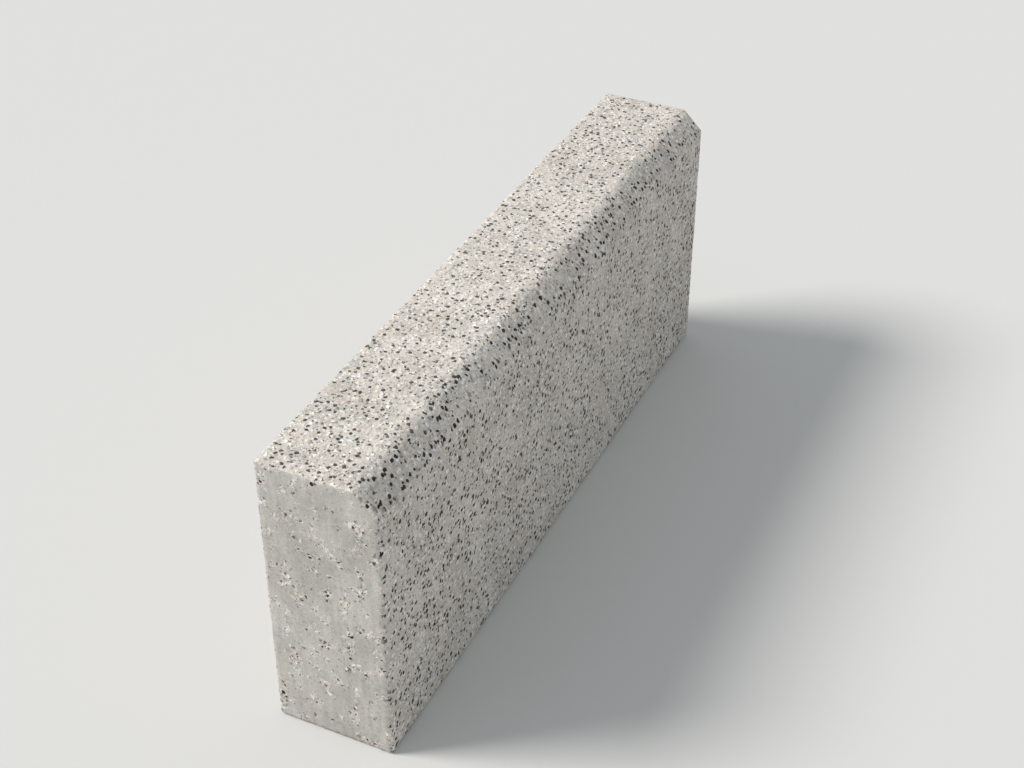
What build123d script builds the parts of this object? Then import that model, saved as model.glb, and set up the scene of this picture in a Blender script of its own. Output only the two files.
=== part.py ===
from build123d import *
import os

# A straight concrete kerb stone with a bevel along the top edge of its front.
# It is pressed in one piece from one concrete mix, with the same section from end to end.
# Sizes are in millimetres. X runs along the kerb, Z is up, and the front is the -Y side.
# The origin is in the middle of the base.

# The block
length = 500.0
width = 80.0
height = 200.0

# The bevel along the top edge of the front
bevel_width = 15.0  # taken off the top face
bevel_drop = 15.0  # taken off the front face
brow_radius = 7.0  # the top runs over into the bevel in a soft brow, worn by the blasting
foot_radius = 3.0  # the bevel turns into the front face more tightly

# The other long edges come sharp out of the mould, and are only slightly broken
back_arris = 1.5
base_arris = 2.0

# The edges around both ends, which are just as slightly broken
end_arris = 1.2

front = -width / 2
back = width / 2
half_length = length / 2

# Each corner of the section, with the radius that it is rounded to
front_base = (front, 0)
back_base = (back, 0)
back_top = (back, height)
bevel_brow = (front + bevel_width, height)
bevel_foot = (front, height - bevel_drop)
corners = [front_base, back_base, back_top, bevel_brow, bevel_foot]
radii = [base_arris, base_arris, back_arris, brow_radius, foot_radius]

with BuildPart() as kerb_stone:
    # The section, drawn across the kerb at its -X end and pressed out along its length
    with BuildSketch(Plane.YZ.offset(-half_length)):
        with BuildLine():
            FilletPolyline(*corners, radius=radii, close=True)
        make_face()
    extrude(amount=length)

    # Both ends are flat and square to the kerb, with their edges broken all round
    ends = kerb_stone.faces().filter_by(Axis.X)
    fillet(ends.edges(), radius=end_arris)

kerb_stone.part.label = "kerb_stone"

os.makedirs("parts", exist_ok=True)
export_step(kerb_stone.part, "parts/kerb_stone.step")
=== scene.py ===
import math

import bmesh
import bpy
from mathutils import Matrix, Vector


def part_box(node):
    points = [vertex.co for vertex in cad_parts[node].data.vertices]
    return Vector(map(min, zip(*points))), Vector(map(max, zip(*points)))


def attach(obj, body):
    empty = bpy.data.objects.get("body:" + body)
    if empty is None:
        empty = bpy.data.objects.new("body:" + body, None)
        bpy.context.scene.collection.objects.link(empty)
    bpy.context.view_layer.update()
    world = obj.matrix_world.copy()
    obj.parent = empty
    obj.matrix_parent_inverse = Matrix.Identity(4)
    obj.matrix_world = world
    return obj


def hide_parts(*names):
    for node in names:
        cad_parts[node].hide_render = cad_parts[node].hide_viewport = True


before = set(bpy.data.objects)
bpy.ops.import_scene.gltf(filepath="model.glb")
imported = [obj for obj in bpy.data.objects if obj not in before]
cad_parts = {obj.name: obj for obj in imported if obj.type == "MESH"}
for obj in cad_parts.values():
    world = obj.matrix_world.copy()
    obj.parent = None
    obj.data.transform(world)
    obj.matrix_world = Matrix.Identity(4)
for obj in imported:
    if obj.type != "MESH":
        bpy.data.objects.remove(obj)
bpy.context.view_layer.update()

# The kerb stone
# One block pressed from a single dry concrete mix, pale cement and sand with crushed granite in it.
# Its long sides, bevel and top are blasted, which bares the grains. The ends and base keep their skin.

stone_low, stone_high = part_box("kerb_stone")
near_x, far_x = stone_low.x, stone_high.x
front_y, back_y = stone_low.y, stone_high.y
base_z, top_z = stone_low.z, stone_high.z

bevel_size = 0.015
brow_y = front_y + bevel_size
foot_z = top_z - bevel_size
brow_radius = 0.007
foot_radius = 0.003
back_arris = 0.0015
base_arris = 0.002
end_arris = 0.0012


def at(value, wanted):
    """Whether one coordinate of a corner is the wanted one, apart from rounding."""
    rounding = 0.0001
    return abs(value - wanted) < rounding


def pick_edges(block, wanted):
    """Selects the edges of the block in edit mode whose two corners both pass the test."""
    mesh = bmesh.from_edit_mesh(block.data)
    for edge in mesh.edges:
        edge.select = all(wanted(corner.co) for corner in edge.verts)
    mesh.select_flush_mode()
    bmesh.update_edit_mesh(block.data)


def round_over(block, wanted, radius, turn, steps):
    """Rounds the picked edges to a radius. The faces beside them turn by that many degrees."""
    pick_edges(block, wanted)
    reach = radius * math.tan(math.radians(turn / 2))
    bpy.ops.mesh.bevel(offset=reach, offset_type="OFFSET", segments=steps, profile=0.5, affect="EDGES")


bpy.ops.object.select_all(action="DESELECT")
bpy.ops.mesh.primitive_cube_add(size=1, location=(stone_low + stone_high) / 2)
stone = bpy.context.object
stone.name = "kerb_stone_blasted"
stone.scale = stone_high - stone_low
bpy.ops.object.transform_apply(location=True, rotation=False, scale=True)
bpy.ops.object.mode_set(mode="EDIT")
bpy.ops.mesh.select_mode(type="EDGE")

# The bevel along the top edge of the front, then its soft brow and its tighter foot
pick_edges(stone, lambda p: at(p.y, front_y) and at(p.z, top_z))
bpy.ops.mesh.bevel(offset=bevel_size, offset_type="OFFSET", segments=1, affect="EDGES")
round_over(stone, lambda p: at(p.y, brow_y) and at(p.z, top_z), brow_radius, turn=45, steps=6)
round_over(stone, lambda p: at(p.y, front_y) and at(p.z, foot_z), foot_radius, turn=45, steps=3)

# The other long edges, and the edges all round both ends, are only broken
round_over(stone, lambda p: at(p.y, back_y) and at(p.z, top_z), back_arris, turn=90, steps=3)
round_over(stone, lambda p: at(p.y, back_y) and at(p.z, base_z), base_arris, turn=90, steps=3)
round_over(stone, lambda p: at(p.y, front_y) and at(p.z, base_z), base_arris, turn=90, steps=3)
round_over(stone, lambda p: at(p.x, near_x), end_arris, turn=90, steps=2)
round_over(stone, lambda p: at(p.x, far_x), end_arris, turn=90, steps=2)
bpy.ops.object.mode_set(mode="OBJECT")

# An even fine mesh, for the wear that follows
mesh_step = 0.001
remesh = stone.modifiers.new("even mesh", "REMESH")
remesh.mode = "VOXEL"
remesh.voxel_size = mesh_step
remesh.use_smooth_shade = True
bpy.ops.object.modifier_apply(modifier=remesh.name)

# Handling and blasting crumble the arrises, a grain here and there, and all faces wave slightly.
# The blasted faces are also eaten unevenly from one grain to the next, less so beside the skin.
crumbled_width = 0.004
crumbs_deep = 0.0007
blasted_deep = 0.0008
skin_fades_over = 0.003
faces_wave = 0.0003


def from_arris(spot):
    """How far a spot is from the nearest arris, which is how far it is from the second nearest face."""
    to_bevel = (spot.y - front_y + top_z - spot.z - bevel_size) / math.sqrt(2)
    to_faces = [to_bevel, spot.x - near_x, far_x - spot.x]
    to_faces += [spot.y - front_y, back_y - spot.y, spot.z - base_z, top_z - spot.z]
    return sorted(to_faces)[1]


def sink(block, name, size, deep, group=""):
    """Sinks the surface by a random pattern of that size, only ever inwards, and applies it."""
    pattern = bpy.data.textures.new(name, "CLOUDS")
    pattern.noise_scale = size
    modifier = block.modifiers.new(name, "DISPLACE")
    modifier.texture = pattern
    modifier.texture_coords = "LOCAL"
    modifier.mid_level = 1
    modifier.strength = deep
    modifier.vertex_group = group
    bpy.ops.object.modifier_apply(modifier=modifier.name)


arrises = stone.vertex_groups.new(name="arrises")
blasted = stone.vertex_groups.new(name="blasted")
for corner in stone.data.vertices:
    spot = corner.co
    to_arris = from_arris(spot)
    if to_arris < crumbled_width:
        arrises.add([corner.index], 1 - to_arris / crumbled_width, "REPLACE")
    to_skin = min(spot.x - near_x, far_x - spot.x, spot.z - base_z)
    blasted.add([corner.index], min(1, max(0, to_skin / skin_fades_over)), "REPLACE")
sink(stone, "waving faces", size=0.06, deep=faces_wave)
sink(stone, "uneven blasting", size=0.004, deep=blasted_deep, group="blasted")
sink(stone, "crumbled grains", size=0.0022, deep=crumbs_deep, group="arrises")
sink(stone, "crumbled lengths", size=0.009, deep=crumbs_deep, group="arrises")

# The flat faces need far fewer triangles than the crumbled arrises
most_triangles = 190000
stone_triangles = sum(len(face.vertices) - 2 for face in stone.data.polygons)
thinning = stone.modifiers.new("thinning", "DECIMATE")
thinning.ratio = min(1, most_triangles / stone_triangles)
bpy.ops.object.modifier_apply(modifier=thinning.name)
bpy.ops.object.shade_smooth()


def put(tree, kind, **settings):
    """Adds a node to the tree with these settings."""
    node = tree.nodes.new(kind)
    for name, value in settings.items():
        setattr(node, name, value)
    return node


def feed(tree, value, socket):
    """Gives a socket its value, which is a number, a colour or another node's output."""
    if isinstance(value, bpy.types.NodeSocket):
        tree.links.new(value, socket)
    else:
        socket.default_value = value


def sums(tree, operation, first, second=0.0, third=0.0):
    """A math node's result."""
    node = put(tree, "ShaderNodeMath", operation=operation)
    for value, socket in zip((first, second, third), node.inputs):
        feed(tree, value, socket)
    return node.outputs[0]


def vector_sums(tree, operation, first, second=None, third=None, output="Vector"):
    """A vector math node's result."""
    node = put(tree, "ShaderNodeVectorMath", operation=operation)
    for value, socket in zip((first, second, third), node.inputs):
        if value is not None:
            feed(tree, value, socket)
    return node.outputs[output]


def spread(tree, value, low, high, to_low=0.0, to_high=1.0):
    """Maps low to high of a value onto another range, and stops at its ends."""
    node = put(tree, "ShaderNodeMapRange", clamp=True)
    for given, socket in zip((value, low, high, to_low, to_high), node.inputs):
        feed(tree, given, socket)
    return node.outputs[0]


def noise(tree, place, size, detail=2.0, roughness=0.5, output="Fac"):
    """Soft random variation whose blots are about that many metres across."""
    node = put(tree, "ShaderNodeTexNoise")
    feed(tree, place, node.inputs["Vector"])
    node.inputs["Scale"].default_value = 1 / size
    node.inputs["Detail"].default_value = detail
    node.inputs["Roughness"].default_value = roughness
    return node.outputs[output]


def blend(tree, share, below, above, kind="MIX"):
    """Lays one colour over another. A plain number stands for a grey."""
    node = put(tree, "ShaderNodeMix", data_type="RGBA", blend_type=kind)
    feed(tree, share, node.inputs[0])
    feed(tree, below, node.inputs[6])
    feed(tree, above, node.inputs[7])
    return node.outputs[2]


def make_grains_group():
    """
    One size of crushed granite in the mix, cut through by whatever face it meets.
    Each grain is a ball with two broken sides. All that is random about it is drawn from its middle,
    so that it holds for the whole grain. Cover says how far it hides what is under it, Kind is a number
    from 0 to 1 to pick its colour by, and Height is its relief.
    """
    broken_at = 0.6  # how far from the middle a side is broken off, as a share of the radius
    rim_width = 0.0006  # how far inside its outline a grain has risen to a height of 1
    lean_width = 0.001  # how far to either side of the middle its top leans
    lean_height = 0.8  # how much higher the leaning makes one side than the other

    group = bpy.data.node_groups.new("crushed grains", "ShaderNodeTree")
    for name in ("Spacing", "Share", "Smallest", "Largest", "Rim"):
        group.interface.new_socket(name, in_out="INPUT", socket_type="NodeSocketFloat")
    group.interface.new_socket("Place", in_out="INPUT", socket_type="NodeSocketVector")
    for name in ("Cover", "Kind", "Height"):
        group.interface.new_socket(name, in_out="OUTPUT", socket_type="NodeSocketFloat")
    given = put(group, "NodeGroupInput").outputs
    told = put(group, "NodeGroupOutput").inputs

    grains = put(group, "ShaderNodeTexVoronoi", feature="F1")
    feed(group, given["Place"], grains.inputs["Vector"])
    feed(group, sums(group, "DIVIDE", 1.0, given["Spacing"]), grains.inputs["Scale"])
    draws = put(group, "ShaderNodeSeparateColor")
    feed(group, grains.outputs["Color"], draws.inputs[0])
    is_grain = sums(group, "LESS_THAN", draws.outputs["Red"], given["Share"])
    radius = spread(group, draws.outputs["Blue"], 0.0, 1.0, given["Smallest"], given["Largest"])

    from_middle = vector_sums(group, "SUBTRACT", given["Place"], grains.outputs["Position"])
    inside = sums(group, "SUBTRACT", radius, vector_sums(group, "LENGTH", from_middle, output="Value"))
    to_break = sums(group, "MULTIPLY", radius, broken_at)
    for seed in (1.0, 7.0):
        cast = put(group, "ShaderNodeTexWhiteNoise", noise_dimensions="4D")
        feed(group, grains.outputs["Position"], cast.inputs["Vector"])
        cast.inputs["W"].default_value = seed
        side = vector_sums(group, "SUBTRACT", cast.outputs["Color"], (0.5, 0.5, 0.5))
        side = vector_sums(group, "NORMALIZE", side)
        along = vector_sums(group, "DOT_PRODUCT", from_middle, side, output="Value")
        inside = sums(group, "MINIMUM", inside, sums(group, "SUBTRACT", to_break, along))

    cover = sums(group, "MULTIPLY", is_grain, spread(group, inside, 0.0, given["Rim"]))
    rounded = spread(group, inside, 0.0, rim_width)
    leaning = spread(group, along, -lean_width, lean_width, to_low=0.0, to_high=lean_height)
    height = sums(group, "MULTIPLY", sums(group, "ADD", rounded, leaning), cover)
    feed(group, cover, told["Cover"])
    feed(group, draws.outputs["Green"], told["Kind"])
    feed(group, height, told["Height"])


def grains_of(tree, place, spacing, share, radii, rim):
    """
    Grains between these two radii, one in each cell of the spacing where the share allows.
    Their colour and relief fade in over the rim.
    """
    node = put(tree, "ShaderNodeGroup", node_tree=bpy.data.node_groups["crushed grains"])
    values = {"Place": place, "Spacing": spacing, "Share": share, "Rim": rim}
    values["Smallest"], values["Largest"] = radii
    for name, value in values.items():
        feed(tree, value, node.inputs[name])
    return node.outputs


def colours_by(tree, draw, kinds):
    """Picks one colour for each grain by its draw. Each kind begins at its number."""
    node = put(tree, "ShaderNodeValToRGB")
    node.color_ramp.interpolation = "CONSTANT"
    stops = node.color_ramp.elements
    stops.remove(stops[1])
    for number, (begins, colour) in enumerate(kinds):
        stop = stops[0] if number == 0 else stops.new(begins)
        stop.position = begins
        stop.color = (*colour, 1)
    feed(tree, draw, node.inputs[0])
    return node.outputs[0]


make_grains_group()
concrete = bpy.data.materials.new("blasted_granite_concrete")
concrete.use_nodes = True
stone.data.materials.clear()
stone.data.materials.append(concrete)
tree = concrete.node_tree
shader = tree.nodes["Principled BSDF"]
coordinates = put(tree, "ShaderNodeTexCoord").outputs
place = coordinates["Object"]

# Nothing in the mix has a smooth outline, so the grains are cut from a slightly ruffled space
ruffle_size = 0.0011
ruffle = noise(tree, place, ruffle_size, detail=1.0, roughness=0.6, output="Color")
ruffle = vector_sums(tree, "SUBTRACT", ruffle, (0.5, 0.5, 0.5))
ruffled = vector_sums(tree, "MULTIPLY_ADD", ruffle, (ruffle_size, ruffle_size, ruffle_size), place)

# Cement and pale sand, cloudy over centimetres and grainy below a millimetre
darker_cement, lighter_cement = (0.53, 0.495, 0.45, 1), (0.645, 0.605, 0.555, 1)
clouds = spread(tree, noise(tree, place, size=0.03, detail=3.0), 0.35, 0.65)
sand = noise(tree, place, size=0.0008, roughness=0.75)
sandy = spread(tree, sand, 0.32, 0.68, to_low=0.78, to_high=1.20)
matrix = blend(tree, 1.0, blend(tree, clouds, darker_cement, lighter_cement), sandy, "MULTIPLY")

# The pale grains fill the mix. Among the dark ones, the middling and the large crowd in some places
# and thin out in others.
crowding = noise(tree, place, size=0.016, detail=0.0)
middle_share = spread(tree, crowding, 0.3, 0.7, to_low=0.4, to_high=0.8)
large_share = spread(tree, crowding, 0.3, 0.7, to_low=0.45, to_high=1.0)
pale = grains_of(tree, ruffled, spacing=0.0031, share=0.95, radii=(0.0012, 0.0022), rim=0.0006)
fine = grains_of(tree, ruffled, spacing=0.0018, share=0.32, radii=(0.00035, 0.0008), rim=0.0003)
middle = grains_of(tree, ruffled, spacing=0.0033, share=middle_share, radii=(0.0007, 0.0012), rim=0.0003)
large = grains_of(tree, ruffled, spacing=0.0043, share=large_share, radii=(0.0012, 0.0018), rim=0.0002)

# The kinds of granite, each with the number at which its share of the draws from 0 to 1 begins.
# The pale ones are white, tan, pinkish and light grey, and the others are grey, brown and black.
pale_kinds = (
    (0.0, (0.77, 0.735, 0.68)),
    (0.24, (0.58, 0.56, 0.515)),
    (0.38, (0.82, 0.80, 0.76)),
    (0.54, (0.74, 0.62, 0.55)),
    (0.63, (0.44, 0.43, 0.405)),
    (0.78, (0.33, 0.31, 0.29)),
    (0.85, (0.76, 0.69, 0.57)),
    (0.93, (0.84, 0.835, 0.815)),
)
grey_kinds = (
    (0.0, (0.03, 0.03, 0.029)),
    (0.30, (0.105, 0.095, 0.085)),
    (0.55, (0.225, 0.20, 0.175)),
    (0.78, (0.32, 0.235, 0.195)),
)
dark_kinds = (
    (0.0, (0.014, 0.014, 0.013)),
    (0.70, (0.035, 0.035, 0.034)),
    (0.86, (0.10, 0.096, 0.09)),
    (0.94, (0.20, 0.155, 0.13)),
)

# The pale part of the mix is mottled over two millimetres or so
mottle = spread(tree, noise(tree, place, size=0.0022, detail=1.0), 0.3, 0.7, to_low=0.84, to_high=1.14)
colour = blend(tree, pale["Cover"], matrix, colours_by(tree, pale["Kind"], pale_kinds))
colour = blend(tree, 1.0, colour, mottle, "MULTIPLY")

# Painted sheen: the dark grains of the top, which faces the sky and the lamp behind, are shown a little
# paler
facing = put(tree, "ShaderNodeSeparateXYZ")
feed(tree, coordinates["Normal"], facing.inputs[0])
shown_under_painted_sheen = spread(tree, facing.outputs["Z"], 0.78, 0.99, to_low=1.0, to_high=0.89)
for grains, kinds in ((fine, grey_kinds), (middle, grey_kinds), (large, dark_kinds)):
    shown = sums(tree, "MULTIPLY", grains["Cover"], shown_under_painted_sheen)
    colour = blend(tree, shown, colour, colours_by(tree, grains["Kind"], kinds))

# The base and both ends aren't blasted, and keep the cement skin that they got in the mould.
# It is worn through in patches, and at the arrises, where the surface turns away from square.
skin_gone, skin_whole = 0.75, 0.97
on_ends = spread(tree, sums(tree, "ABSOLUTE", facing.outputs["X"]), skin_gone, skin_whole)
on_base = spread(tree, facing.outputs["Z"], -skin_gone, -skin_whole)
patches = noise(tree, place, size=0.010, detail=3.0, roughness=0.6)
skin_left = spread(tree, patches, 0.60, 0.52)
skin = sums(tree, "MULTIPLY", sums(tree, "MAXIMUM", on_ends, on_base), skin_left)

# The skin is plain cement, with faint upright streaks from the mould, and the grains just show through
darker_skin, lighter_skin = (0.43, 0.415, 0.38, 1), (0.53, 0.51, 0.475, 1)
skin_hides = 0.88
sand_shows = 0.6
drawn_upright = (1.0, 1.0, 0.12)
streaks = noise(tree, vector_sums(tree, "MULTIPLY", place, drawn_upright), size=0.003)
streaky = spread(tree, streaks, 0.3, 0.7, to_low=0.90, to_high=1.08)
skin_colour = blend(tree, 1.0, blend(tree, clouds, darker_skin, lighter_skin), streaky, "MULTIPLY")
skin_colour = blend(tree, sand_shows, skin_colour, sandy, "MULTIPLY")
colour = blend(tree, sums(tree, "MULTIPLY", skin, skin_hides), colour, skin_colour)

# Small pores, where air sat in the mix, darkened with painted shade in their hollows
pore_painted_shade = (0.12, 0.115, 0.105, 1)
pore_shade_hides = 0.6
pores = grains_of(tree, ruffled, spacing=0.0041, share=0.5, radii=(0.0002, 0.0006), rim=0.00015)
colour = blend(tree, sums(tree, "MULTIPLY", pores["Cover"], pore_shade_hides), colour, pore_painted_shade)

# Broken granite is a little smoother than cement
roughness = spread(tree, large["Cover"], 0.0, 1.0, to_low=0.9, to_high=0.72)

# Blasting eats the cement back, so the grains stand out by a few tenths of a millimetre.
# All heights are in millimetres here. The skin is smoother, and the pores are hollows.
relief = sums(tree, "MULTIPLY", sand, 0.25)
for grains, proud in ((pale, 0.24), (middle, 0.18), (large, 0.28)):
    relief = sums(tree, "MULTIPLY_ADD", grains["Height"], proud, relief)
skin_relief = sums(tree, "MULTIPLY_ADD", streaks, 0.1, sums(tree, "MULTIPLY", sand, 0.2))
to_skin_relief = sums(tree, "SUBTRACT", skin_relief, relief)
relief = sums(tree, "MULTIPLY_ADD", to_skin_relief, skin, relief)
relief = sums(tree, "MULTIPLY_ADD", pores["Height"], -0.4, relief)
bump = put(tree, "ShaderNodeBump")
bump.inputs["Distance"].default_value = 0.001
bump.inputs["Strength"].default_value = 1.0
feed(tree, relief, bump.inputs["Height"])

feed(tree, colour, shader.inputs["Base Color"])
feed(tree, roughness, shader.inputs["Roughness"])
feed(tree, bump.outputs["Normal"], shader.inputs["Normal"])
shader.inputs["Specular IOR Level"].default_value = 0.3

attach(stone, "root")
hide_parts("kerb_stone")

# The floor, the light and the camera
# A pale floor under a pale sky, and one broad soft lamp behind the stone, where the photograph has its
# light. The camera stands where the photograph's stood, and is turned so that the whole stone shows.

bpy.ops.object.select_all(action="DESELECT")
bpy.ops.mesh.primitive_plane_add(size=60)
floor = bpy.context.object
floor.name = "floor"
floor_paint = bpy.data.materials.new("pale_floor")
floor_paint.use_nodes = True
floor_shader = floor_paint.node_tree.nodes["Principled BSDF"]
floor_shader.inputs["Base Color"].default_value = (0.62, 0.62, 0.61, 1)
floor_shader.inputs["Roughness"].default_value = 1.0
floor_shader.inputs["Specular IOR Level"].default_value = 0.0
floor.data.materials.append(floor_paint)

key_from = Vector((-0.35, 0.75, 0.75))
bpy.ops.object.light_add(type="SUN", location=key_from)
key = bpy.context.object
key.name = "key"
key.rotation_euler = key_from.to_track_quat("Z", "Y").to_euler()
key.data.angle = math.radians(21)
key.data.energy = 3.25
key.data.color = (1.0, 0.965, 0.925)

# The sky lights the stone evenly, and where the camera sees it, it is as bright as the far floor
world = bpy.data.worlds.new("studio")
bpy.context.scene.world = world
world.use_nodes = True
sky = world.node_tree
sky_light = sky.nodes["Background"]
sky_light.inputs["Color"].default_value = (0.92, 0.965, 1.0, 1)
sky_light.inputs["Strength"].default_value = 0.56
sky_seen = put(sky, "ShaderNodeBackground")
sky_seen.inputs["Color"].default_value = (1.0, 1.0, 0.985, 1)
sky_seen.inputs["Strength"].default_value = 0.765
rays = put(sky, "ShaderNodeLightPath").outputs
is_seen = sums(sky, "MAXIMUM", rays["Is Camera Ray"], rays["Is Glossy Ray"])
is_seen = sums(sky, "MAXIMUM", is_seen, rays["Is Transmission Ray"])
either = put(sky, "ShaderNodeMixShader")
feed(sky, is_seen, either.inputs[0])
feed(sky, sky_light.outputs[0], either.inputs[1])
feed(sky, sky_seen.outputs[0], either.inputs[2])
feed(sky, either.outputs[0], sky.nodes["World Output"].inputs["Surface"])

camera_place = Vector((-0.851, -0.405, 0.782))
look_at = Vector((0, 0, 0.1))
bpy.ops.object.camera_add(location=camera_place)
camera = bpy.context.object
camera.name = "camera"
camera.rotation_euler = (camera_place - look_at).to_track_quat("Z", "Y").to_euler()
camera.data.sensor_width = 36
camera.data.lens = 60
bpy.context.scene.camera = camera
bpy.context.scene.view_settings.view_transform = "Standard"
